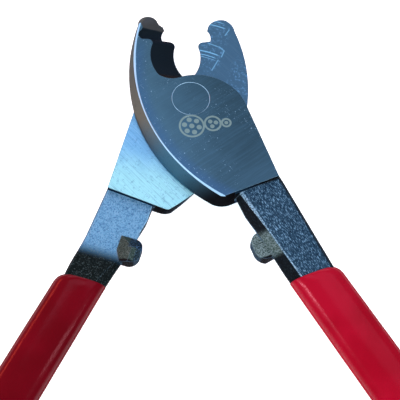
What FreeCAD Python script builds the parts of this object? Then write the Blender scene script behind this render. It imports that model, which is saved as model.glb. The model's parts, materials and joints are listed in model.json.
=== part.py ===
# Two-handed cable cutter, drop-forged steel, 250 mm long with the jaws closed.
# Two halves of one forging cross at a pivot bolt: each is a jaw, a cranked neck with
# a closing stop, and a flat tang inside a dipped plastic grip.
# A half is drawn with the jaws closed: x to the right, y towards the jaws, z up,
# the pivot axis at the origin and the ground mating face at z = 0. The rear half is
# turned over about y. The finished model is then lowered, so that its origin is on
# the pivot axis in the ground front face.
import FreeCAD, Part
import math
import os

V = FreeCAD.Vector

# all sizes are in mm and all angles in degrees
half_opening = 18.5         # each half stands this far from closed

# lengths along the tool, from the pivot to the jaw's tip and back to the handle's end
jaw_reach = 50.0
tail_reach = 48.7           # pivot to the head's tail edge
neck_length = 38.8
grip_length = 110.5

# head
head_thickness = 8.0        # one half, from mating face to ground outer face
back_bulge = 23.7           # pivot to the back of the jaw
hub_reach = 21.6            # pivot to the straight side of the head
land_height = 1.2           # upright edge beside the mating face, before the wall slopes in
tip_land = 2.2              # the same, round the hooked tip
edge_ease = 0.4             # height of the small bevel round the ground outer face
ease_inset = 0.12           # its width, as a share of the wall's slope
mating_gap = 0.02           # running gap on each side of the mating plane
face_chin = 1.4             # rounding of the ground outer face's tail corner

# pivot and its hardware
head_radius = 8.0           # flush bolt head in the front half
head_depth = 4.0
journal_radius = 6.0
journal_clearance = 0.05
thread_radius = 5.0
washer_radius = 11.0
washer_thickness = 1.5
washer_clearance = 0.15
disc_radius = 9.5
disc_thickness = 0.8
disc_rise = 0.5
nut_across_flats = 17.0
nut_height = 4.6
nut_chamfer = 0.8
collar_height = 1.6         # round collar of the nut, which holds the locking ring
collar_radius = 7.4
ring_height = 1.2
ring_radius = 6.4
bolt_stand_out = 1.0
bolt_chamfer = 0.8
slot_width = 2.0            # driver slot across the bolt's threaded end
slot_depth = 0.6

# neck
neck_step = 1.6             # the rough neck lies this far under the ground outer face
neck_lift = 2.4             # and this far above the mating plane, at the head
neck_face = (4.3, 12.9)     # x of its outer face's inner edge
neck_rib = (1.6, 8.9)       # x of its widest line on the inner side
rib_start = 0.15            # share of the neck where the inner side starts to lean
rib_slope = (0.6, 3.4)      # run of the inner side from the widest line to the mating side
crank_start = 0.45          # share of the neck where it starts to crank to the middle
rib_land = 1.0              # height of the flat strip along the widest line
edge_break = 0.9

# closing stop, measured from the tail edge
stop_setback = 15.7
stop_length = 11.3
stop_face_x = 0.0
stop_half_thickness = 3.3
stop_top_round = 3.2
stop_bottom_round = 4.2
stop_crest_x = 3.8          # x of its ridge on the mating side
stop_end_z = -1.4           # the ridge's slope meets the contact face here
stop_ramp_end = 9.8         # x where its ramp runs out into the neck
stop_ramp_z = 1.2
stop_shoulder = 4.9         # run and top of the slope on its side towards the head
stop_shoulder_z = 1.0

# handle
handle_lean = 0.20          # sideways run of the handle per mm of its length
end_lean = 0.05             # the same, at the end of the handle
straight_share = 0.46       # share of the grip before the handle curves back
grip_axis_x = 19.2          # middle of the grip at its mouth
grip_half_thickness = 5.9
grip_corner = 5.2
mouth_length = 4.0          # length of the rolled mouth
mouth_drop = 1.25           # loss of half width at the mouth
mouth_shift = 1.35          # the mouth sits this far inwards, on the neck
dome_length = 9.0
dome_end = 78               # angle at which the domed end is cut off flat
tang_half_width = 8.0
tang_half_thickness = 4.4
tang_taper = 2.2            # loss of half width along the tang
tang_wall = 5.0             # plastic left between the tang and the handle's end

# what differs between the two halves: rounding of the tail corner, middle of the tip's crown
# and where the tip runs into the back (x, and depth below the tip), extra swell of the back,
# how far the outer face's tail reaches back, x of the neck's outer side at the head and at
# the grip, the grip's half width, its middle line's shift
front_form = {"chin": 4.2, "crown": (1.7, 3.6), "heel": (-7.1, 3.3), "back_swell": 0.0, "tail_drop": 0.0,
              "neck_outer": (22.2, 26.8), "grip_half_width": 10.4, "handle_shift": 0.0}
rear_form = {"chin": 1.0, "crown": (2.5, 2.6), "heel": (-8.3, 4.5), "back_swell": 0.6, "tail_drop": 1.1,
             "neck_outer": (22.2, 24.9), "grip_half_width": 9.5, "handle_shift": -0.9}

tail_y = -tail_reach
grip_start = tail_y - neck_length
handle_end = grip_start - grip_length
tang_end = handle_end + tang_wall


def mix(a, b, t):
    return a + (b - a) * t


def mixed(p, q, t):
    return (mix(p[0], q[0], t), mix(p[1], q[1], t))


def smooth(t):
    t = min(1.0, max(0.0, t))
    return t * t * (3 - 2 * t)


def cylinder(radius, low, high):
    return Part.makeCylinder(radius, high - low, V(0, 0, low))


def closed_polygon(points):
    return Part.makePolygon(points + points[:1])


def chain_wire(corners, z):
    """A closed wire at height z: a corner of two values ends a line, one of four ends an arc."""
    edges = []
    last = V(corners[-1][-2], corners[-1][-1], z)
    for c in corners:
        end = V(c[-2], c[-1], z)
        if len(c) == 4:
            edges.append(Part.Arc(last, V(c[0], c[1], z), end).toShape())
        else:
            edges.append(Part.LineSegment(last, end).toShape())
        last = end
    return Part.Wire(edges)


def rounded_chin(back_end, corner, tail_end, length):
    """Start, middle and end of the rounding where the jaw's back meets its tail edge."""
    start = mixed(corner, back_end, length / math.dist(corner, back_end))
    end = mixed(corner, tail_end, length / math.dist(corner, tail_end))
    middle = mixed(corner, mixed(start, end, 0.5), 0.53)
    return start, middle, end


def head_rows(form):
    """The head's outline, a row for each stretch: its points at the mating face, its
    points at the ground outer face, and the kind of side between them. A stretch
    starts where the one before it ends; two values more make it an arc."""
    b, t, tip, side = -back_bulge, tail_y, jaw_reach, hub_reach
    top_t = t - form["tail_drop"]
    crown, heel, swell = form["crown"], form["heel"], form["back_swell"]
    low_chin = rounded_chin((b + 13.7, t + 5.1), (-4.7, t), (side, t + 2.3), form["chin"])
    top_chin = rounded_chin((b + 13.9, top_t + 7.6), (-3.9, top_t + 1.8), (side - 0.7, top_t + 2.9),
                            face_chin + form["tail_drop"])
    tooth = tip - 18.6
    return [
        # back of the jaw, chin, tail edge, straight side and round of the head
        ((b + 5.2 - swell, 0.52 * tip, b + 0.4 - swell, 6.0), (b + 6.8, 0.48 * tip, b + 3.3, 4.0), "wall"),
        ((b + 1.45, -15.0) + low_chin[0], (b + 5.2, -17.0) + top_chin[0], "wall"),
        (low_chin[1] + low_chin[2], top_chin[1] + top_chin[2], "wall"),
        ((side, t + 2.3), (side - 0.7, top_t + 2.9), "wall"),
        ((side + 0.6, -11.0), (side - 0.4, -11.2), "wall"),
        ((side - 5.0, 5.6, 5.4, 12.9), (side - 6.4, 4.9, 1.2, 11.6), "wall"),
        # main cutting edge, from the round of the head up to the tooth
        ((3.8, 14.6, 2.7, 16.8), (-5.0, 12.3, -8.9, 15.6), "bevel"),
        ((2.0, mix(16.8, tooth, 0.42), 5.0, tooth),
         (-9.6, mix(15.6, tooth, 0.4), -5.7, tooth + 0.2), "bevel"),
        # tooth
        ((5.2, tooth + 2.2, 3.3, tooth + 3.9), (-5.9, tooth + 2.0, -7.4, tooth + 3.1), "bevel"),
        ((0.9, tooth + 5.2), (-9.3, tooth + 3.8), "bevel"),
        # small notch
        ((1.4, tip - 11.2, 3.7, tip - 8.6), (-10.2, tip - 12.6, -8.2, tip - 10.3), "bevel"),
        # hooked tip
        ((3.9, tip - 6.6), (-7.0, tip - 9.1), "bevel"),
        ((crown[0], tip - crown[1], -2.6, tip), (-6.9, tip - 7.9, -7.1, tip - 7.0), "tip"),
        (mixed((-2.6, tip + 1.2), (heel[0], tip - heel[1] + 1.2), 0.55) + (heel[0], tip - heel[1]),
         (-7.3, tip - 6.7, -7.6, tip - 6.6), "tip"),
    ]


def head_level(rows, height):
    """The head's outline at a height above the mating face."""
    lands = {"wall": land_height, "tip": tip_land, "bevel": 0.0}
    corners = []
    for low, high, kind in rows:
        land = lands[kind]
        t = max(0.0, height - land) / (head_thickness - land)
        if kind == "wall" and height == head_thickness:
            t += ease_inset
        corners.append(tuple(mix(p, q, t) for p, q in zip(low, high)))
    return chain_wire(corners, height)


def forged_head(form):
    rows = head_rows(form)
    heights = (mating_gap, land_height, tip_land, head_thickness - edge_ease, head_thickness)
    return Part.makeLoft([head_level(rows, h) for h in heights], True, True)


def handle_section(y, face_x, rib_x, mating_x, outer_x, face_z, mating_z, rib_z):
    """Section across the neck or tang: flat faces, and an inner side that swells to a rib."""
    half_rib = rib_land / 2
    points = [
        (face_x, face_z), (outer_x - edge_break, face_z), (outer_x, face_z - edge_break),
        (outer_x, mating_z + edge_break), (outer_x - edge_break, mating_z),
        (mating_x, mating_z), (rib_x, rib_z - half_rib), (rib_x, rib_z + half_rib),
    ]
    return closed_polygon([V(x, y, z) for x, z in points])


def neck_section(form, t):
    """Section at a share t of the neck, 0 at the head's tail edge and 1 at the grip."""
    crank = smooth((t - crank_start) / (1 - crank_start))
    lean = max(0.0, (t - rib_start) / (1 - rib_start))
    rib_x = mix(*neck_rib, lean)
    face_z = mix(head_thickness - neck_step, tang_half_thickness, max(0.0, t))
    mating_z = mix(neck_lift, -tang_half_thickness, crank)
    rib_z = mix(neck_lift + 0.9, 0.0, crank)
    outer_x = mix(*form["neck_outer"], t)
    return handle_section(tail_y - t * neck_length, mix(*neck_face, t), rib_x,
                          rib_x + mix(*rib_slope, crank), outer_x, face_z, mating_z, rib_z)


def handle_axis(form, y):
    """x of the handle's middle line: straight, then curving back towards its end."""
    along = grip_start - y
    straight = straight_share * grip_length
    bent = max(0.0, along - straight)
    curl = (handle_lean - end_lean) / (grip_length - straight)
    return grip_axis_x + form["handle_shift"] + handle_lean * along - curl * bent * bent / 2


def tang_section(form, y):
    along = (grip_start - y) / (grip_start - tang_end)
    half = tang_half_width - tang_taper * along
    x = handle_axis(form, y)
    z = tang_half_thickness
    inner_edge = x - half + rib_slope[1]
    return handle_section(y, inner_edge, x - half, inner_edge, x + half, z, -z, 0.0)


def neck_and_tang(form):
    """The neck starts inside the head and runs on as the tang."""
    neck_shares = (-0.15, 0.0, 0.2, 0.4, 0.5, 0.6, 0.7, 0.8, 0.9, 1.0)
    tang_start = grip_start - 2 * mouth_length
    tang_shares = [i / 8 for i in range(9)]
    sections = [neck_section(form, t) for t in neck_shares]
    sections += [tang_section(form, mix(tang_start, tang_end, t)) for t in tang_shares]
    return Part.makeLoft(sections, True, True)


def closing_stop():
    """Block on the inner side of the neck that meets its twin when the jaws are closed. A ridge
    on its mating side runs between the contact face, the neck and a slope towards the head."""
    s, up, down = stop_half_thickness, stop_top_round, stop_bottom_round
    top = tail_y - stop_setback
    bottom = top - stop_length
    across = [(stop_face_x, stop_end_z), (stop_crest_x, -s), (stop_ramp_end, stop_ramp_z), (stop_ramp_end, s),
              (stop_face_x, s)]
    bar = Part.Face(closed_polygon([V(x, bottom, z) for x, z in across])).extrude(V(0, stop_length, 0))
    along = [(bottom, -s), (top - stop_shoulder, -s), (top, stop_shoulder_z), (top, s), (bottom, s)]
    shoulder = Part.Face(closed_polygon([V(stop_face_x, y, z) for y, z in along]))
    beyond = stop_ramp_end + 1
    left = stop_face_x
    corners = [
        (beyond, bottom), (left + down, bottom),
        (left + 0.3 * down, bottom + 0.3 * down, left, bottom + down),
        (left, top - 1.4 * up),
        (left + 0.3 * up, top - 0.45 * up, left + up, top),
        (beyond, top),
    ]
    plan = Part.Face(chain_wire(corners, -s - 1)).extrude(V(0, 0, 2 * s + 2))
    return bar.common(shoulder.extrude(V(beyond - left, 0, 0))).common(plan)


def forged_half(form):
    body = forged_head(form).fuse([neck_and_tang(form), closing_stop()])
    return body.removeSplitter()


def front_half():
    seat = cylinder(head_radius, head_thickness - head_depth, head_thickness + 1)
    bore = cylinder(journal_radius, -1, head_thickness)
    return forged_half(front_form).cut([seat, bore])


def rear_half():
    bore = cylinder(journal_radius + journal_clearance, -1, head_thickness + 1)
    return forged_half(rear_form).cut(bore)


def grip_section(y, axis_x, w, t):
    """Rounded bar of half width w and half thickness t, four lines and four arcs."""
    r = min(grip_corner, 0.88 * t, 0.88 * w)
    k = r * (1 - math.sqrt(0.5))
    quarters = [
        ((-w + r, t), (w - r, t), (w - k, t - k), (w, t - r)),
        ((w, t - r), (w, -t + r), (w - k, -t + k), (w - r, -t)),
        ((w - r, -t), (-w + r, -t), (-w + k, -t + k), (-w, -t + r)),
        ((-w, -t + r), (-w, t - r), (-w + k, t - k), (-w + r, t)),
    ]
    edges = []
    for corners in quarters:
        a, b, middle, c = [V(axis_x + x, y, z) for x, z in corners]
        edges += [Part.LineSegment(a, b).toShape(), Part.Arc(b, middle, c).toShape()]
    return Part.Wire(edges)


def grip(form, half):
    """Dipped sleeve: a rounded bar with a rolled mouth and a domed end, hollow for the tang."""
    wires = []
    w, t = form["grip_half_width"], grip_half_thickness
    for i in range(5):                               # rolled mouth
        a = math.radians(90 * i / 4)
        loss = 1 - math.sin(a)
        y = grip_start - mouth_length * (1 - math.cos(a))
        wires.append(grip_section(y, handle_axis(form, y) - mouth_shift * loss,
                                  w - mouth_drop * loss, t - 0.6 * mouth_drop * loss))
    first, last = grip_start - 2 * mouth_length, handle_end + 1.5 * dome_length
    for i in range(8):
        y = mix(first, last, i / 7)
        wires.append(grip_section(y, handle_axis(form, y), w, t))
    for i in range(7):                               # domed end
        a = math.radians(dome_end * i / 6)
        y = handle_end + dome_length * (1 - math.sin(a) / math.sin(math.radians(dome_end)))
        wires.append(grip_section(y, handle_axis(form, y), w * math.cos(a), t * math.cos(a) ** 0.7))
    return Part.makeLoft(wires, True, True).cut(half)


def washer_low():
    return -head_thickness - washer_thickness


def nut_top():
    return washer_low() - mating_gap - disc_rise - disc_thickness


def nut_low():
    return nut_top() - nut_height


def collar_low():
    return nut_low() - collar_height


def pivot_bolt():
    """Flush round head, plain journal through both halves, threaded end with a driver slot."""
    end = collar_low() - bolt_stand_out
    head = cylinder(head_radius, head_thickness - head_depth, head_thickness)
    journal = cylinder(journal_radius, -head_thickness, head_thickness - head_depth)
    thread = cylinder(thread_radius, end + bolt_chamfer, -head_thickness)
    tip = Part.makeCone(thread_radius - bolt_chamfer, thread_radius, bolt_chamfer, V(0, 0, end))
    slot = Part.makeBox(2 * journal_radius, slot_width, 2 * slot_depth,
                        V(-journal_radius, -slot_width / 2, end - slot_depth))
    return head.fuse([journal, thread, tip]).removeSplitter().cut(slot)


def thrust_washer():
    hole = cylinder(thread_radius + washer_clearance, washer_low() - 1, 0)
    return cylinder(washer_radius, washer_low(), -head_thickness).cut(hole)


def disc_spring():
    """Coned disc, its outer rim on the washer and its inner rim on the nut."""
    top = washer_low() - mating_gap
    inner = thread_radius + washer_clearance
    profile = [(inner, top - disc_rise), (disc_radius, top), (disc_radius, top - disc_thickness),
               (inner, top - disc_rise - disc_thickness)]
    section = Part.Face(closed_polygon([V(x, 0, z) for x, z in profile]))
    return section.revolve(V(0, 0, 0), V(0, 0, 1), 360)


def hexagon_bar(across_flats, low, high):
    corner = across_flats / math.sqrt(3)
    turns = [math.radians(60 * i) for i in range(6)]
    points = [V(corner * math.cos(a), corner * math.sin(a), low) for a in turns]
    return Part.Face(closed_polygon(points)).extrude(V(0, 0, high - low))


def lock_nut():
    """Thin hexagon nut with a round collar that holds the locking ring."""
    low = nut_low()
    corner = nut_across_flats / math.sqrt(3)
    chamfer_cone = Part.makeCone(corner - nut_chamfer, corner + nut_height, nut_height + nut_chamfer,
                                 V(0, 0, low))
    hexagon = hexagon_bar(nut_across_flats, low, nut_top()).common(chamfer_cone)
    collar = cylinder(collar_radius, collar_low(), low)
    bore = cylinder(thread_radius, collar_low() - 1, nut_top() + 1)
    pocket = cylinder(ring_radius, collar_low() - 1, collar_low() + ring_height)
    return hexagon.fuse(collar).removeSplitter().cut([bore, pocket])


def locking_ring():
    top = collar_low() + ring_height
    return cylinder(ring_radius, collar_low(), top).cut(cylinder(thread_radius, collar_low() - 1, top + 1))


def place_front(shape):
    placed = shape.copy()
    placed.rotate(V(0, 0, 0), V(0, 0, 1), half_opening)
    return placed


def place_rear(shape):
    placed = shape.copy()
    placed.rotate(V(0, 0, 0), V(0, 1, 0), 180)
    placed.rotate(V(0, 0, 0), V(0, 0, 1), -half_opening)
    return placed


def build():
    front = front_half()
    rear = rear_half()
    return {
        "front_half": place_front(front),
        "front_grip": place_front(grip(front_form, front)),
        "rear_half": place_rear(rear),
        "rear_grip": place_rear(grip(rear_form, rear)),
        "pivot_bolt": place_front(pivot_bolt()),
        "thrust_washer": thrust_washer(),
        "disc_spring": disc_spring(),
        "lock_nut": place_front(lock_nut()),
        "locking_ring": locking_ring(),
    }


os.makedirs("parts", exist_ok=True)
for name, shape in build().items():
    shape.translate(V(0, 0, -head_thickness))
    shape.exportStep("parts/" + name + ".step")
    print(name, len(shape.Solids), "solid", round(shape.Volume), "mm3, valid:", shape.isValid())
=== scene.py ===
import json
import math
import bpy
from mathutils import Matrix, Vector, noise


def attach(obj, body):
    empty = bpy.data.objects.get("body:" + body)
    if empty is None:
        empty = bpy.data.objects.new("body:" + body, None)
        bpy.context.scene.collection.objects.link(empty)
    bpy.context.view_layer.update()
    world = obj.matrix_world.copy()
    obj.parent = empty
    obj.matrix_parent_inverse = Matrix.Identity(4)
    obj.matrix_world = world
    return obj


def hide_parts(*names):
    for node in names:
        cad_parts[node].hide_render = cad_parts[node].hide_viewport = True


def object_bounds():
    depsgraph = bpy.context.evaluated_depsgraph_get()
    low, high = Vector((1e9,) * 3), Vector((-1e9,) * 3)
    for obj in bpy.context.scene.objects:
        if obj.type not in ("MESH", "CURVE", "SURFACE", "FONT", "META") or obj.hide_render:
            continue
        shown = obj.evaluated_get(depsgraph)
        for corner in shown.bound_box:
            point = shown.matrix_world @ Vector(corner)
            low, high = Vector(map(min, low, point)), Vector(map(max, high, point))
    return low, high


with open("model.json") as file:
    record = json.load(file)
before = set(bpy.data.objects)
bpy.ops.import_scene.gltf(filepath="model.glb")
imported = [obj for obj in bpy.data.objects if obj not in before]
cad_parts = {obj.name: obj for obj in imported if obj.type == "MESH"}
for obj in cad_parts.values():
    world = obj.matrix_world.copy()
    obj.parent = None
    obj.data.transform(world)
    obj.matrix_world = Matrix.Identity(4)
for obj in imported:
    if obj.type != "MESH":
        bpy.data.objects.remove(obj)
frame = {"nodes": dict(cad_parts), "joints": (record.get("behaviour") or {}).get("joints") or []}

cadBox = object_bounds()
nodes = frame["nodes"]
pivot = Vector(frame["joints"][0]["pos_m"])
halfOpening = -frame["joints"][0]["range_deg"][0] / 2      # each half stands this far from closed
mm = 0.001
print("frame loaded")


camera = {"lens": 70.56, "aim": (2.3, -43.5), "distance": 0.320, "tilt": 25.0, "heading": -101.9,
          "roll": 2.85}
floor = {"size": 4.0, "gap": 0.0004, "colour": (246, 247, 248), "pale": (250, 250, 250), "roughness": 0.6,
         "glow": 0.75}
worldLight = {"colour": (230, 240, 255), "strength": 0.40}
softLights = [
    {"name": "overheadPanel", "at": (-0.12, 0.42, 0.95), "aim": (0, 0, 0), "size": (0.40, 0.34),
     "radiance": 2.15, "colour": (222, 240, 255)},
    {"name": "keyPanel", "at": (0.35, -0.75, 0.80), "aim": (0, -0.05, 0), "size": (0.7, 0.5),
     "radiance": 5.0, "colour": (255, 253, 250)},
    {"name": "leftPanel", "at": (-1.10, -0.10, 0.90), "aim": (0, -0.05, 0), "size": (0.8, 0.8),
     "radiance": 2.6, "colour": (246, 250, 255)},
    {"name": "backPanel", "at": (0.10, 1.30, 0.75), "aim": (0, 0, 0), "size": (1.2, 0.5),
     "radiance": 3.0, "colour": (246, 250, 255)},
    {"name": "stripPanel", "at": (-0.50, -0.22, 0.62), "aim": (0.08, -0.14, 0), "size": (0.012, 0.30),
     "radiance": 170.0, "colour": (255, 255, 255)},
    {"name": "nearPanel", "at": (0.19, -0.17, 0.24), "aim": (0.09, -0.14, 0), "size": (0.008, 0.16),
     "radiance": 34.0, "colour": (255, 252, 248)},
    {"name": "gripPanel", "at": (0.42, 0.30, 0.92), "aim": (0.09, -0.14, 0), "size": (0.76, 0.5),
     "radiance": 1.6, "colour": (226, 230, 255)},
    {"name": "warmPanel", "at": (-0.72, 0.46, 0.44), "aim": (-0.09, -0.14, 0), "size": (0.50, 0.10),
     "radiance": 20.0, "colour": (255, 128, 84)},
]


def linear(colour, alpha=1.0):
    # everyday 0-255 colour to the renderer's linear values
    parts = [c / 255 for c in colour]
    return tuple(p / 12.92 if p <= 0.04045 else ((p + 0.055) / 1.055) ** 2.4 for p in parts) + (alpha,)


def placeCamera():
    data = bpy.data.cameras.new("camera")
    data.lens = camera["lens"]
    data.sensor_width = 36.0
    data.clip_start = 0.01
    tilt, heading, roll = (math.radians(camera[k]) for k in ("tilt", "heading", "roll"))
    aim = Vector((camera["aim"][0] * mm, camera["aim"][1] * mm, pivot.z))
    sideways = Vector((math.cos(heading), math.sin(heading), 0))
    outward = sideways * math.sin(tilt) + Vector((0, 0, math.cos(tilt)))
    right = (-outward).cross(Vector((math.sin(roll), math.cos(roll), 0))).normalized()
    up = right.cross(-outward)
    turn = Matrix((right, up, outward)).transposed()
    obj = bpy.data.objects.new("camera", data)
    obj.matrix_world = Matrix.Translation(aim + outward * camera["distance"]) @ turn.to_4x4()
    bpy.context.scene.collection.objects.link(obj)
    bpy.context.scene.camera = obj


def placeLights():
    for light in softLights:
        data = bpy.data.lights.new(light["name"], "AREA")
        data.shape = "RECTANGLE"
        data.size, data.size_y = light["size"]
        data.energy = light["radiance"] * math.pi * data.size * data.size_y
        data.color = linear(light["colour"])[:3]
        obj = bpy.data.objects.new(light["name"], data)
        obj.location = light["at"]
        obj.visible_camera = False
        facing = Vector(light["aim"]) - Vector(light["at"])
        obj.rotation_euler = facing.to_track_quat("-Z", "Y").to_euler()
        bpy.context.scene.collection.objects.link(obj)
    world = bpy.data.worlds.new("studio")
    bpy.context.scene.world = world
    world.use_nodes = True
    background = world.node_tree.nodes["Background"]
    background.inputs["Color"].default_value = linear(worldLight["colour"])
    background.inputs["Strength"].default_value = worldLight["strength"]
    bpy.context.scene.view_settings.view_transform = "Standard"


class Signal:
    # one value in a material, used like a number
    def __init__(self, finish, socket):
        self.finish = finish
        self.socket = socket

    def calc(self, operation, *others):
        return self.finish.make("ShaderNodeMath", {"operation": operation}, dict(enumerate((self,) + others)))

    def __add__(self, other):
        return self.calc("ADD", other)

    def __sub__(self, other):
        return self.calc("SUBTRACT", other)

    def __mul__(self, other):
        return self.calc("MULTIPLY", other)

    def __truediv__(self, other):
        return self.calc("DIVIDE", other)

    def __rsub__(self, other):
        return self.finish.make("ShaderNodeMath", {"operation": "SUBTRACT"}, {0: other, 1: self})

    __radd__ = __add__
    __rmul__ = __mul__

    def top(self, other):
        return self.calc("MAXIMUM", other)

    def low(self, other):
        return self.calc("MINIMUM", other)

    def size(self):
        return self.calc("ABSOLUTE")

    def rise(self, start, end):
        # 0 below start, 1 above end, smooth between
        return self.finish.make("ShaderNodeMapRange", {"interpolation_type": "SMOOTHSTEP"},
                                {"Value": self, "From Min": start, "From Max": end})

    def fall(self, start, end):
        return 1 - self.rise(start, end)


def reach(x, y):
    # distance of a place from the origin of x and y
    return (x * x + y * y).calc("SQRT")


class Finish:
    # a material under construction
    def __init__(self, name):
        self.material = bpy.data.materials.new(name)
        self.material.use_nodes = True
        self.tree = self.material.node_tree
        self.tree.nodes.clear()

    def make(self, kind, settings=None, sockets=None, out=0):
        # a node of any type: its settings, then the values or links of its sockets
        node = self.tree.nodes.new(kind)
        for key, value in (settings or {}).items():
            setattr(node, key, value)
        for key, value in (sockets or {}).items():
            if isinstance(value, Signal):
                self.tree.links.new(value.socket, node.inputs[key])
            else:
                node.inputs[key].default_value = value
        return Signal(self, node.outputs[out]) if node.outputs else None

    def blend(self, amount, a, b):
        # colour a, turning into b as the amount goes from 0 to 1
        return self.make("ShaderNodeMix", {"data_type": "RGBA"}, {0: amount, 6: a, 7: b}, 2)

    def place(self, side=1, turn=0.0, lift=0.0):
        # the piece's own coordinates in mm, turned over for side -1, turned about z and lifted
        return self.make("ShaderNodeMapping", None, {
            "Vector": self.make("ShaderNodeTexCoord", out="Object"), "Scale": (side / mm, 1 / mm, side / mm),
            "Rotation": (0, 0, math.radians(turn)), "Location": (0, 0, lift)})

    def along(self, place, angle, length, width):
        # coordinates drawn out into streaks of a length and width in mm, angle measured from x
        return self.make("ShaderNodeMapping", {"vector_type": "TEXTURE"}, {
            "Vector": place, "Rotation": (0, 0, math.radians(angle)), "Scale": (length, width, width)})

    def parts(self, vector):
        first = self.make("ShaderNodeSeparateXYZ", None, {0: vector})
        return [Signal(self, out) for out in first.socket.node.outputs]

    def grain(self, vector, scale, detail=2.0, roughness=0.5, seed=0.0):
        sockets = {"Vector": vector, "W": seed, "Scale": scale, "Detail": detail, "Roughness": roughness}
        return self.make("ShaderNodeTexNoise", {"noise_dimensions": "4D"}, sockets)

    def specks(self, vector, scale):
        # distance to the nearest of many scattered points
        return self.make("ShaderNodeTexVoronoi", None, {"Vector": vector, "Scale": scale})

    def softEdge(self, radius):
        return self.make("ShaderNodeBevel", {"samples": 6}, {"Radius": radius * mm})

    def arris(self, soft):
        # 1 where the softened normal leaves the true one, as it does on a sharp edge
        straight = self.make("ShaderNodeNewGeometry", out="Normal")
        match = self.make("ShaderNodeVectorMath", {"operation": "DOT_PRODUCT"}, {0: soft, 1: straight}, 1)
        return match.fall(0.80, 0.97)

    def relief(self, height, depth, normal=None):
        sockets = {"Height": height, "Distance": depth * mm}
        if normal:
            sockets["Normal"] = normal
        return self.make("ShaderNodeBump", None, sockets)

    def done(self, colour, roughness, metallic=0.0, normal=None, **more):
        sockets = {"Base Color": colour, "Roughness": roughness, "Metallic": metallic}
        if normal:
            sockets["Normal"] = normal
        sockets.update({k.replace("_", " "): v for k, v in more.items()})
        shader = self.make("ShaderNodeBsdfPrincipled", None, sockets)
        self.make("ShaderNodeOutputMaterial", None, {"Surface": shader})
        return self.material


def dress(node, material):
    data = nodes[node].data
    data.materials.clear()
    data.materials.append(material)


# places on one half, in mm, with the jaws closed: x across, y towards the jaws, z out of the mating face
half = {
    "thickness": 8.0, "tailY": -48.7, "jawReach": 50.0, "boltHead": 8.0,
    "backCentre": (51.5, -0.3), "edgeRadius": 71.6, "bevelRadius": 72.4, "bevelFoot": 11.9, "capLength": 9.4,
    "neckLength": 38.8, "neckFace": (4.3, 12.9), "neckRib": (1.6, 8.9), "neckOuter": 22.2,
    "neckSpread": (4.6, 2.7), "neckRise": 2.4, "neckDrop": 4.4, "ribRise": 3.3, "ribStart": 0.15,
    "crankStart": 0.45,
}
# closing stop: shares of the neck that it spans and that its skin covers beside it, its ends along y,
# the foot of its slope towards the head, the reach of the patch that the other one strikes, its top
stop = {"span": (0.385, 0.71), "beside": (0.39, 0.73), "headEnd": -69.6, "gripEnd": -75.0,
        "shoulder": 0.8, "shoulderX": 5.0, "strikeX": 1.6, "strikeZ": 2.0, "topZ": 2.9}
# directions of grinding lines, scratches and the streaks of the painted reflection band, in degrees from x
ground = {"haze": 16, "shade": 4, "hairs": 108, "scrapes": 22, "lines": 30, "deep": 26, "crossed": 118}
forgedDirection = -78
steel = {
    "faceLight": (68, 98, 117), "faceDark": (45, 67, 79), "faceEdge": (178, 218, 246),
    "backEdge": (156, 200, 234), "faceBlue": (56, 88, 128),
    "matingBright": (156, 210, 218), "matingMid": (114, 168, 208), "matingJaw": (64, 94, 118),
    "scored": (122, 180, 216), "rubbed": (104, 156, 196),
    "wallWarm": (100, 97, 88), "wallBlue": (76, 112, 132), "wallDark": (17, 17, 20), "stepLine": (20, 46, 66),
    "bevel": (34, 43, 50), "bevelWarm": (62, 45, 38), "cap": (84, 84, 84),
    "neckOuter": (40, 66, 88), "neckFleck": (126, 168, 200), "neckPit": (14, 27, 40),
    "neckMating": (102, 158, 196), "neckGrain": (66, 104, 146), "neckBend": (16, 23, 23),
    "neckSide": (15, 15, 16), "stop": (62, 79, 75), "stopTop": (120, 140, 144), "stopNavy": (14, 30, 50),
    "etch": (128, 146, 140), "grazing": (120, 140, 160), "gloss": 0.25,
}
# generic mark: ends of three stranded cables on one line; middle's x, outer radius, strands
badge = {"baseY": -17.6, "line": 0.52, "cables": [(-4.4, 5.0, 7), (4.3, 3.3, 3), (9.8, 1.8, 1)]}
# bright scoring on the mating face: radius from the pivot, half width, reach to either side
scoring = [(30.7, 0.40, 5.6), (28.8, 0.26, 4.6), (27.6, 0.14, 5.0), (45.7, 0.34, 4.6), (48.0, 0.18, 3.4)]
# pressed outline of the other jaw's tooth and tip on the mating face
prints = [((1.5, 35.4), (-4.3, 34.8)), ((-4.3, 34.8), (-6.5, 33.6)), ((-6.5, 33.6), (-6.2, 30.1)),
          ((-5.2, 28.0), (-4.0, 22.0)), ((-5.7, 45.4), (-4.7, 41.9))]


def tone(name):
    return linear(steel[name])


def strokeMask(x, y, a, b, width):
    # a short straight line between two places
    dx, dy = b[0] - a[0], b[1] - a[1]
    square = dx * dx + dy * dy
    along = ((x - a[0]) * (dx / square) + (y - a[1]) * (dy / square)).top(0.0).low(1.0)
    away = reach(x - a[0] - along * dx, y - a[1] - along * dy)
    return away.fall(width * 0.4, width)


def badgeMask(x, y):
    # a ring for each cable, round a single strand, three, or one with six about it
    mask = None
    for middle, outer, strands in badge["cables"]:
        bx, by = x - middle, y - (badge["baseY"] + outer)
        radius = reach(bx, by)
        part = (radius - outer).size().fall(badge["line"] * 0.6, badge["line"])
        strand = outer * (0.235 if strands > 1 else 0.5)
        if strands > 1:
            around = min(strands, 6)
            sector = 2 * math.pi / around
            folded = (by.calc("ARCTAN2", bx) + math.pi).calc("MODULO", sector) - sector / 2
            orbit = outer * (0.62 if strands > 3 else 0.42)
            strand *= 1.0 if strands > 3 else 1.3
            u = radius * folded.calc("COSINE") - orbit
            v = radius * folded.calc("SINE")
            part = part.top(reach(u, v).fall(strand * 0.85, strand))
        if strands != 3:
            part = part.top(radius.fall(strand * 0.85, strand))
        mask = part if mask is None else mask.top(part)
    return mask


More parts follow.
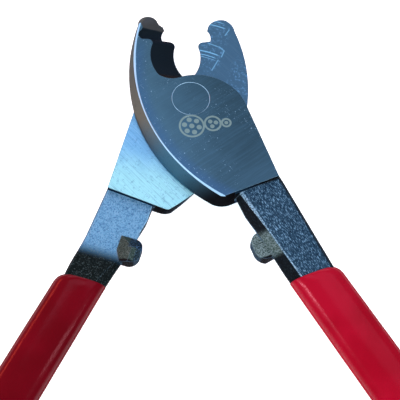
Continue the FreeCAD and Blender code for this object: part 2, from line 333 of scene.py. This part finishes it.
def halfPlaces(f, flipped):
    # coordinates on one half, and a mask for each of its parts
    h = half
    side = -1 if flipped else 1
    place = f.place(side, -halfOpening, -side * pivot.z / mm)
    x, y, z = f.parts(place)
    share = (h["tailY"] - y) / h["neckLength"]
    crank = share.rise(h["crankStart"], 1.0)
    fromBack = reach(x - h["backCentre"][0], y - h["backCentre"][1])
    face = z.rise(h["thickness"] - 0.12, h["thickness"] - 0.03)
    mating = z.fall(0.06, 0.16) * share.fall(0.0, 0.01)

    # painted highlight along the back edge, narrowing towards the tip
    border = (y - 24.0).top(0.0) * 0.055 + h["edgeRadius"]
    edge = z.rise(h["thickness"] - 0.5, h["thickness"] - 0.38) * (fromBack - border).rise(0.0, 0.35)
    rough = (1 - face) * (1 - mating)
    bevel = y.rise(h["bevelFoot"], h["bevelFoot"] + 0.5) * rough
    bevel = bevel * fromBack.fall(h["bevelRadius"], h["bevelRadius"] + 0.4)
    cap = bevel * y.rise(h["jawReach"] - h["capLength"], h["jawReach"] - h["capLength"] + 0.6)
    neck = share.rise(-0.065, -0.055) * x.rise(0.9, 1.3).top(share.rise(0.25, 0.27)) * rough

    # lines of the neck: widest on the inner side, edge of the outer face, outer side
    ribRun = (h["neckRib"][1] - h["neckRib"][0]) / (1 - h["ribStart"])
    ribX = (share - h["ribStart"]).top(0.0) * ribRun + h["neckRib"][0]
    ribZ = h["ribRise"] - crank * h["ribRise"]
    matingZ = h["neckRise"] - crank * (h["neckRise"] + h["neckDrop"])
    faceX = share * (h["neckFace"][1] - h["neckFace"][0]) + h["neckFace"][0]
    outerX = share * h["neckSpread"][1 if flipped else 0] + h["neckOuter"]
    outer = (z - ribZ).rise(-0.2, 0.2)
    return {"place": place, "x": x, "y": y, "z": z, "share": share, "face": face, "mating": mating,
            "edge": edge, "bevel": bevel, "cap": cap, "neck": neck, "outer": outer, "outerX": outerX,
            "faceX": faceX, "ribX": ribX, "ribZ": ribZ, "matingZ": matingZ}


def groundFace(f, place, x, y, marked):
    # ground outer face: painted reflection across it and along the back, faint grinding haze, scratches,
    # specks, the bolt's hairline and the mark
    cloud = f.grain(place, 0.12, 3.0)
    # painted reflection: the face shades from faceDark to faceLight across its width and is lighter along the
    # tail
    slope = (y * 0.1 - x * 0.8 + (cloud - 0.5) * 16).rise(-20.0, 24.0)
    slope = slope.top(y.fall(-48.0, -24.0) * 0.35)
    colour = f.blend(slope, tone("faceDark"), tone("faceLight"))
    back = reach(x - half["backCentre"][0], y)
    shade = f.grain(f.along(place, ground["shade"], 3.0, 0.5), 1.0, 3.0, 0.6, 15.0)
    # painted reflection: a streaked bluer band just inside the back edge
    nearBack = back.rise(66.0, 71.0) * y.fall(26.0, 40.0)
    colour = f.blend(nearBack * (shade + 0.1) * 0.8, colour, tone("faceBlue"))
    haze = f.grain(f.along(place, ground["haze"], 14, 0.7), 1.0, 4.0, 0.65)
    colour = f.blend((haze - 0.45).top(0.0) * 0.22, colour, tone("matingMid"))
    hairs = f.grain(f.along(place, ground["hairs"], 3.0, 0.22), 1.0, 1.0, 0.4, 3.0).rise(0.71, 0.77)
    scrapes = f.grain(f.along(place, ground["scrapes"], 4.0, 0.2), 1.0, 1.0, 0.4, 4.0).rise(0.73, 0.79)
    specks = f.specks(place, 0.5).fall(0.06, 0.13)
    dust = f.specks(place, 1.3).fall(0.07, 0.14)
    patchy = f.grain(place, 0.09, 2.0, 0.5, 8.0).rise(0.44, 0.62)
    wear = hairs.top(scrapes).top(specks).top(dust * 0.7) * patchy.top(back.rise(63.0, 69.0) * 0.8)
    colour = f.blend(wear * 0.45, colour, tone("faceEdge"))
    if marked:
        colour = f.blend(badgeMask(x, y) * (haze * 0.4 + 0.5), colour, tone("etch"))
    aboveMark = (y - badge["baseY"]).rise(9.0, 12.0)
    hairline = (reach(x, y) - half["boltHead"]).size().fall(0.06, 0.18) * aboveMark
    return f.blend(hairline * 0.75, colour, tone("faceEdge")), haze, hairline


def matingFace(f, place, x, y):
    # ground mating face: painted reflection, darker on the jaw and lighter towards the tail, diagonal
    # grinding lines, scoring and prints of the other jaw
    cloud = f.grain(place, 0.12, 3.0)
    lines = f.grain(f.along(place, ground["lines"], 16, 0.42), 1.0, 4.0, 0.7, 5.0)
    deep = f.grain(f.along(place, ground["deep"], 9, 0.4), 1.0, 2.0, 0.5, 6.0).rise(0.60, 0.70)
    crossed = f.grain(f.along(place, ground["crossed"], 5.0, 0.3), 1.0, 2.0, 0.5, 7.0).rise(0.64, 0.74)
    mottle = f.grain(place, 0.8, 3.0, 0.65, 12.0)
    tail = y.fall(-14.0, 2.0)
    # painted reflection: darker towards the jaw, lighter towards the tail
    colour = f.blend((y + (cloud - 0.5) * 10).rise(-16.0, 6.0), tone("matingMid"), tone("matingJaw"))
    colour = f.blend((y + (cloud - 0.5) * 10).fall(-40.0, -22.0), colour, tone("matingBright"))
    colour = f.blend((lines - 0.52).top(0.0) * (tail * 2.0 + 0.3), colour, tone("faceEdge"))
    colour = f.blend((0.5 - lines).top(0.0) * (tail * 1.6 + 0.5), colour, tone("neckGrain"))
    colour = f.blend(deep * (tail * 0.40 + 0.05), colour, tone("neckGrain"))
    colour = f.blend(crossed * tail * 0.3, colour, tone("faceEdge"))
    colour = f.blend(mottle.fall(0.36, 0.44) * tail * 0.35, colour, tone("neckGrain"))
    radius = reach(x, y)
    scored = None
    for middle, width, side in scoring:
        band = (radius - middle).size().fall(width * 0.4, width)
        band = band * x.size().fall(side - 2.2, side) * y.rise(5.0, 6.0)
        scored = band if scored is None else scored.top(band)
    pressed = None
    for a, b in prints:
        line = strokeMask(x, y, a, b, 0.34)
        pressed = line if pressed is None else pressed.top(line)
    rub = f.grain(place, 0.8, 4.0, 0.7, 11.0).rise(0.50, 0.66)
    nearTooth = x.rise(-8.0, -5.0) * x.fall(2.5, 6.0) * y.rise(16.0, 24.0) * 0.45
    nearBack = radius.rise(18.0, 23.0) * x.fall(-14.0, -10.0) * y.fall(24.0, 36.0) * 0.55
    colour = f.blend(rub * nearTooth.top(nearBack), colour, tone("rubbed"))
    colour = f.blend(scored * (lines * 0.6 + 0.6), colour, tone("scored"))
    return f.blend(pressed * 0.55, colour, tone("scored")), lines


def roughNeck(f, p, flecks, pits):
    # oxide skin of the forging with flecks drawn along the handle, painted shade and dark reflection on its
    # sides and at the bend, a painted shadow at the step and painted highlights along its edges
    x, z, share = p["x"], p["z"], p["share"]
    outerNeck = f.blend(flecks.rise(0.52, 0.68), tone("neckOuter"), tone("neckFleck"))
    outerNeck = f.blend(flecks.fall(0.34, 0.48) * 0.85, outerNeck, tone("neckPit"))
    matingNeck = f.blend(pits.rise(0.46, 0.62) * 0.75, tone("neckMating"), tone("neckFleck"))
    matingNeck = f.blend(pits.fall(0.38, 0.52) * 0.85, matingNeck, tone("neckGrain"))
    # painted reflection: the mating side turns dark where the neck bends towards the grip
    bend = f.blend(pits.rise(0.52, 0.68) * 0.35, tone("neckBend"), tone("stopTop"))
    matingNeck = f.blend((share + (pits - 0.5) * 0.14).rise(0.56, 0.74), matingNeck, bend)
    colour = f.blend(p["outer"], matingNeck, outerNeck)
    # painted shade: the neck's side wall is nearly black, flecked
    side = (x - p["faceX"]).fall(-0.5, -0.1) * p["outer"]
    first, last = stop["beside"]
    beside = share.rise(first, first + 0.09) * share.fall(last - 0.07, last) * 0.85
    sideColour = f.blend(pits.rise(0.58, 0.7) * 0.3, tone("neckSide"), tone("stop"))
    sideColour = f.blend(beside, sideColour, f.blend(pits.rise(0.40, 0.65), tone("stop"), tone("stopTop")))
    colour = f.blend(side * 0.95, colour, sideColour)
    # painted shade along the outer side wall
    outline = (x - p["outerX"]).rise(-1.7, -1.2) * p["outer"]
    colour = f.blend(outline * 0.85, colour, tone("neckSide"))
    # painted highlight along the edge of the outer face, broken by the pits, wider towards the head
    edgeLineWidth = share.fall(0.1, 0.5) * 0.45 + 0.24
    edgeLine = (x - p["faceX"]).size().calc("LESS_THAN", edgeLineWidth) * (z - p["ribZ"]).rise(1.2, 1.8)
    colour = f.blend(edgeLine * pits.rise(0.38, 0.60) * 0.62, colour, tone("faceEdge"))
    # painted highlight along the rib, with a painted dark line on it
    fromRib = (x - p["ribX"]).size()
    innerLine = fromRib.fall(0.65, 0.8) * (1 - p["outer"]) * share.fall(0.30, 0.36)
    colour = f.blend(innerLine * pits.rise(0.3, 0.5) * 0.6, colour, tone("faceEdge"))
    colour = f.blend(innerLine * fromRib.fall(0.35, 0.5) * 0.9, colour, tone("neckSide"))
    # painted shade along the outer edge of the mating side
    outerLine = (x - p["outerX"]).rise(-0.55, -0.3) * (1 - p["outer"])
    colour = f.blend(outerLine * pits.rise(0.3, 0.5) * 0.7, colour, tone("neckSide"))
    # painted shadow: a dark line along the step where the neck leaves the head
    strip = share.fall(0.014, 0.03) * z.fall(2.2, 2.35).top(z.rise(6.45, 6.55))
    return f.blend(strip, colour, tone("stepLine"))


def stopMask(p):
    first, last = stop["span"]
    spanned = p["share"].rise(first, first + 0.005) * p["share"].fall(last - 0.005, last)
    proud = (p["x"] - p["ribX"]).fall(-0.6, -0.3).top((p["z"] - p["matingZ"]).fall(-0.6, -0.3))
    return spanned * proud


def stopSkin(f, p, pits, arris):
    # closing stop: grey-green, with a painted lit top, painted navy shade on the slope towards the head and
    # where the other one strikes, a painted dark end and painted highlights on its ridges
    x, y, z = p["x"], p["y"], p["z"]
    colour = f.blend(pits.rise(0.50, 0.68) * 0.45, tone("stop"), tone("stopTop"))
    top = f.blend(pits.rise(0.4, 0.6), tone("stop"), tone("stopTop"))
    # painted light: the top face is lighter
    colour = f.blend(z.rise(stop["topZ"], stop["topZ"] + 0.3), colour, top)
    # painted shade: navy on the slope towards the head and on the patch the other stop strikes
    navy = f.blend(pits.rise(0.5, 0.62), tone("stopNavy"), tone("neckGrain"))
    slope = y.rise(stop["headEnd"], stop["headEnd"] + 0.6) * z.fall(stop["shoulder"], stop["shoulder"] + 0.6)
    slope = slope * x.fall(stop["shoulderX"], stop["shoulderX"] + 1.0)
    colour = f.blend(slope * 0.7, colour, navy)
    struck = x.fall(stop["strikeX"], stop["strikeX"] + 0.8) * z.fall(stop["strikeZ"], stop["strikeZ"] + 0.6)
    colour = f.blend(struck * 0.6, colour, navy)
    # painted shade: the end towards the grip is nearly black
    colour = f.blend(y.fall(stop["gripEnd"], stop["gripEnd"] + 0.8), colour, tone("wallDark"))
    colour = f.blend(pits.fall(0.36, 0.5) * 0.6, colour, tone("neckSide"))
    # painted highlight along the ridges
    return f.blend(arris * 0.55, colour, tone("neckFleck"))


def forgedFinish(name, flipped):
    f = Finish(name)
    p = halfPlaces(f, flipped)
    x, y, z, place = p["x"], p["y"], p["z"], p["place"]
    flecks = f.grain(f.along(place, forgedDirection, 1.25, 0.30), 1.0, 2.0, 0.6, 1.0)
    pits = f.grain(place, 1.9, 3.0, 0.65, 2.0)

    # forged walls: painted reflection, warm near the jaw and blue lower down, and painted shade under the
    # chin
    cloud = f.grain(place, 0.12, 3.0)
    colour = f.blend((y + cloud * 12).rise(-16.0, 6.0), tone("wallBlue"), tone("wallWarm"))
    under = (y + x * 0.5).fall(-49.0, -37.0).top(y.fall(-46.0, -42.0))
    colour = f.blend(under, colour, tone("wallDark"))
    colour = f.blend(pits.fall(0.3, 0.45) * 0.4, colour, tone("wallDark"))

    # bevels of the cutting edges, painted dark for the dark surroundings they reflect, and the cap of the
    # hooked tip
    bevel = f.blend(y.fall(13.0, 17.0), tone("bevel"), tone("bevelWarm"))
    colour = f.blend(p["bevel"], colour, bevel)
    colour = f.blend(p["cap"], colour, tone("cap"))

    outside, haze, hairline = groundFace(f, place, x, y, not flipped)
    inside, lines = matingFace(f, place, x, y)
    colour = f.blend(p["face"], colour, outside)
    colour = f.blend(p["mating"], colour, inside)
    # painted highlight along the back edge
    colour = f.blend(p["edge"], colour, tone("backEdge"))
    colour = f.blend(p["neck"], colour, roughNeck(f, p, flecks, pits))

    # arrises lighter: partly worn steel, partly a painted highlight
    soft = f.softEdge(0.35)
    arris = f.arris(soft)
    colour = f.blend(arris * pits.rise(0.35, 0.6) * (1 - p["bevel"]) * 0.35, colour, tone("faceEdge"))
    colour = f.blend(stopMask(p), colour, stopSkin(f, p, pits, arris))

    flat = p["face"].top(p["mating"])
    rough = 0.52 - p["face"] * 0.17 - p["mating"] * 0.12 + (pits - 0.5) * 0.2 + p["neck"] * 0.04
    height = (flecks * 0.9 + pits) * p["neck"] + pits * 0.25 * (1 - flat) + lines * p["mating"] * 0.35
    height = height + haze * p["face"] * 0.06 - hairline * p["face"] * 0.3
    # less metallic on the painted highlight along the back, and on the necks
    metal = 0.92 - p["edge"] * 0.6 - p["neck"] * 0.15
    return f.done(colour, rough, metal, f.relief(height, 0.16, soft),
                  Specular_IOR_Level=steel["gloss"], Specular_Tint=tone("grazing"))


plate = {"zinc": (176, 178, 182), "zincDark": (120, 122, 128), "spring": (44, 44, 48),
         "springLight": (90, 90, 96), "nylon": (34, 66, 140), "nylonPale": (70, 104, 176),
         "arris": (225, 228, 232)}
thread = {"pitch": 1.5, "root": 4.9, "start": -8.2}


def boltFinish():
    # the ground head matches the front face; the rest is plated
    f = Finish("pivotSteel")
    place = f.place(1, -halfOpening, -pivot.z / mm)
    x, y, z = f.parts(place)
    face = z.rise(half["thickness"] - 0.12, half["thickness"] - 0.03)
    faceColour, haze, hairline = groundFace(f, place, x, y, True)
    turned = f.grain(f.along(place, 0, 5.0, 0.17), 1.0, 3.0, 0.6)
    rodColour = f.blend(turned, linear(plate["zincDark"]), linear(plate["zinc"]))
    turns = (z * (2 * math.pi / thread["pitch"])).calc("SINE")
    turns = turns * z.fall(thread["start"], thread["start"] + 0.1)
    turns = turns * (reach(x, y) - thread["root"]).rise(0.0, 0.05)
    height = haze * face * 0.06 + turned * 0.1 + turns * 1.2
    colour = f.blend(face, rodColour, faceColour)
    return f.done(colour, 0.36 - face * 0.02, 0.92, f.relief(height, 0.14, f.softEdge(0.15)),
                  Specular_IOR_Level=steel["gloss"], Specular_Tint=tone("grazing"))


def platedFinish(name, dark, light, roughness):
    # turned and plated hardware: fine rings about the axis, handling marks and brighter arrises
    f = Finish(name)
    place = f.place()
    x, y = f.parts(place)[:2]
    rings = f.make("ShaderNodeTexNoise", {"noise_dimensions": "1D"},
                   {"W": reach(x, y), "Scale": 5.0, "Detail": 3.0})
    smear = f.grain(place, 0.5, 4.0, 0.6, 4.0)
    colour = f.blend(rings * 0.5 + smear * 0.5, linear(dark), linear(light))
    soft = f.softEdge(0.18)
    colour = f.blend(f.arris(soft) * 0.5, colour, linear(plate["arris"]))
    height = rings * 0.5 + smear * 0.5
    return f.done(colour, roughness + (smear - 0.5) * 0.2, 0.95, f.relief(height, 0.03, soft))


def nylonFinish():
    f = Finish("nylonInsert")
    place = f.place()
    mottled = f.grain(place, 1.4, 3.0)
    colour = f.blend(mottled, linear(plate["nylon"]), linear(plate["nylonPale"]))
    return f.done(colour, 0.48 + (mottled - 0.5) * 0.15, 0.0, f.relief(mottled, 0.05, f.softEdge(0.15)))


# the sleeve in mm, with the jaws closed; its lengths run back from the mouth
gripShape = {
    "mouthY": -87.5, "length": 110.5, "axisX": 19.2, "lean": 0.20, "endLean": 0.05, "straightShare": 0.46,
    "halfThickness": 5.8, "squareness": 2.6, "mouthLength": 4.0, "mouthDrop": 1.25,
    "mouthShift": 1.35, "domeLength": 9.0, "rings": 150, "round": 72, "ripple": 0.08, "rippleSize": 13.0,
}
gripForms = {"front_grip": {"body": "front", "side": 1, "halfWidth": 10.3, "shift": 0.0},
             "rear_grip": {"body": "rear", "side": -1, "halfWidth": 9.4, "shift": -0.9}}
# painted shade: the rear sleeve's reds are a darker copy of the front's, for the less light it gets
gripRed = {"front": ((154, 10, 36), (138, 4, 26)), "rear": ((102, 4, 18), (90, 3, 13)), "edgeLineWidth": (176, 40, 56),
           "roughness": 0.16, "rimRoughness": 0.8, "gloss": 0.15, "tint": (255, 168, 186)}


def gripAxis(along):
    g = gripShape
    straight = g["straightShare"] * g["length"]
    bent = max(0.0, along - straight)
    curl = (g["lean"] - g["endLean"]) / (g["length"] - straight)
    return g["axisX"] + g["lean"] * along - curl * bent * bent / 2


def gripSection(form, along):
    # middle, half width and half thickness at a distance from the mouth
    g = gripShape
    loss = 0.0
    if along < g["mouthLength"]:
        loss = 1 - math.sqrt(1 - (1 - along / g["mouthLength"]) ** 2)
    width = form["halfWidth"] - g["mouthDrop"] * loss
    thick = g["halfThickness"] - 0.6 * g["mouthDrop"] * loss
    left = g["length"] - along
    if left < g["domeLength"]:
        shrink = math.sqrt(max(0.0, 1 - (1 - left / g["domeLength"]) ** 2))
        width *= 0.04 + 0.96 * shrink
        thick *= 0.04 + 0.96 * shrink ** 0.8
    return gripAxis(along) + form["shift"] - g["mouthShift"] * loss, width, thick


def gripPiece(name, form):
    # lofted sleeve with a rolled lip and faint dipping ripples
    g, side = gripShape, form["side"]
    turn = Matrix.Rotation(math.radians(halfOpening * side), 4, "Z")
    power = 2 / g["squareness"]
    verts, faces = [], []

    def addRing(along, grow):
        middle, width, thick = gripSection(form, along)
        for k in range(g["round"]):
            a = 2 * math.pi * k / g["round"]
            c, s = math.cos(a), math.sin(a)
            px = math.copysign(abs(c) ** power, c) * (width + grow)
            pz = math.copysign(abs(s) ** power, s) * (thick + grow)
            point = Vector((middle + px, g["mouthY"] - along, pz))
            dip = noise.noise(point / g["rippleSize"] + Vector((7.0 * side, 0, 0))) * g["ripple"]
            placed = Vector(((point.x + dip * c) * side, point.y, (point.z + dip * s) * side)) * mm
            verts.append(turn @ placed + Vector((0, 0, pivot.z)))

    addRing(0.9, -1.6)                                  # inside of the mouth, against the tang
    addRing(0.15, -0.9)
    addRing(0.0, -0.45)
    for i in range(g["rings"] + 1):                     # denser towards both ends
        s = i / g["rings"]
        addRing(g["length"] * (s - math.sin(2 * math.pi * s) / (2 * math.pi) * 0.85), 0.0)
    n, rows = g["round"], len(verts) // g["round"]
    for r in range(rows - 1):
        for k in range(n):
            a, b = r * n + k, r * n + (k + 1) % n
            faces.append((a, b, b + n, a + n))
    for row in (0, rows - 1):                           # close both ends
        ring = [row * n + k for k in range(n)]
        verts.append(sum((verts[i] for i in ring), Vector()) / n)
        for k in range(n):
            a, b = ring[k], ring[(k + 1) % n]
            faces.append((b, a, len(verts) - 1) if row == 0 else (a, b, len(verts) - 1))
    mesh = bpy.data.meshes.new(name)
    mesh.from_pydata([tuple(v) for v in verts], [], faces)
    mesh.validate()
    mesh.shade_smooth()
    piece = bpy.data.objects.new(name, mesh)
    bpy.context.scene.collection.objects.link(piece)
    return piece


def gripFinish(name, body):
    # soft glossy plastic with a faint orange peel, cloudy colour and a few scuffs
    f = Finish(name)
    place = f.place()
    cloud = f.grain(place, 0.05, 3.0, 0.5, 2.0)
    peel = f.grain(place, 0.55, 2.0, 0.5, 3.0)
    scuffs = f.grain(f.along(place, 60, 4.0, 0.35), 1.0, 2.0, 0.5, 9.0).rise(0.70, 0.80)
    # the rear's darker reds are painted shade
    full, deep = (linear(colour) for colour in gripRed[body])
    colour = f.blend(cloud.rise(0.35, 0.65), deep, full)
    colour = f.blend(scuffs * 0.3, colour, linear(gripRed["edgeLineWidth"]))
    rim = f.make("ShaderNodeLayerWeight", None, {"Blend": 0.5}, 1).rise(0.35, 0.75)
    rough = gripRed["roughness"] + scuffs * 0.2 + (peel - 0.5) * 0.06 + rim * gripRed["rimRoughness"]
    return f.done(colour, rough, 0.0, f.relief(peel, 0.03), Specular_IOR_Level=gripRed["gloss"],
                  Specular_Tint=linear(gripRed["tint"]))


def layFloor():
    z = cadBox[0][2] - floor["gap"]
    s = floor["size"] / 2
    mesh = bpy.data.meshes.new("floor")
    mesh.from_pydata([(-s, -s, z), (s, -s, z), (s, s, z), (-s, s, z)], [], [(0, 1, 2, 3)])
    obj = bpy.data.objects.new("floor", mesh)
    bpy.context.scene.collection.objects.link(obj)
    f = Finish("paleFloor")
    tint = f.grain(f.place(), 0.02, 2.0)
    colour = f.blend(tint, linear(floor["colour"]), linear(floor["pale"]))
    mesh.materials.append(f.done(colour, floor["roughness"], Emission_Color=colour,
                                 Emission_Strength=floor["glow"]))


placeCamera()
placeLights()
layFloor()
print("studio ready")

dress("front_half", forgedFinish("frontSteel", False))
dress("rear_half", forgedFinish("rearSteel", True))
print("forged halves finished")

dress("pivot_bolt", boltFinish())
dress("thrust_washer", platedFinish("zincWasher", plate["zincDark"], plate["zinc"], 0.34))
dress("lock_nut", platedFinish("zincNut", plate["zincDark"], plate["zinc"], 0.30))
dress("disc_spring", platedFinish("springSteel", plate["spring"], plate["springLight"], 0.40))
dress("locking_ring", nylonFinish())
print("pivot hardware finished")

for node, form in gripForms.items():
    piece = gripPiece(node + "_sleeve", form)
    piece.data.materials.append(gripFinish(form["body"] + "Plastic", form["body"]))
    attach(piece, form["body"])
    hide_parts(node)
print("grips dipped")
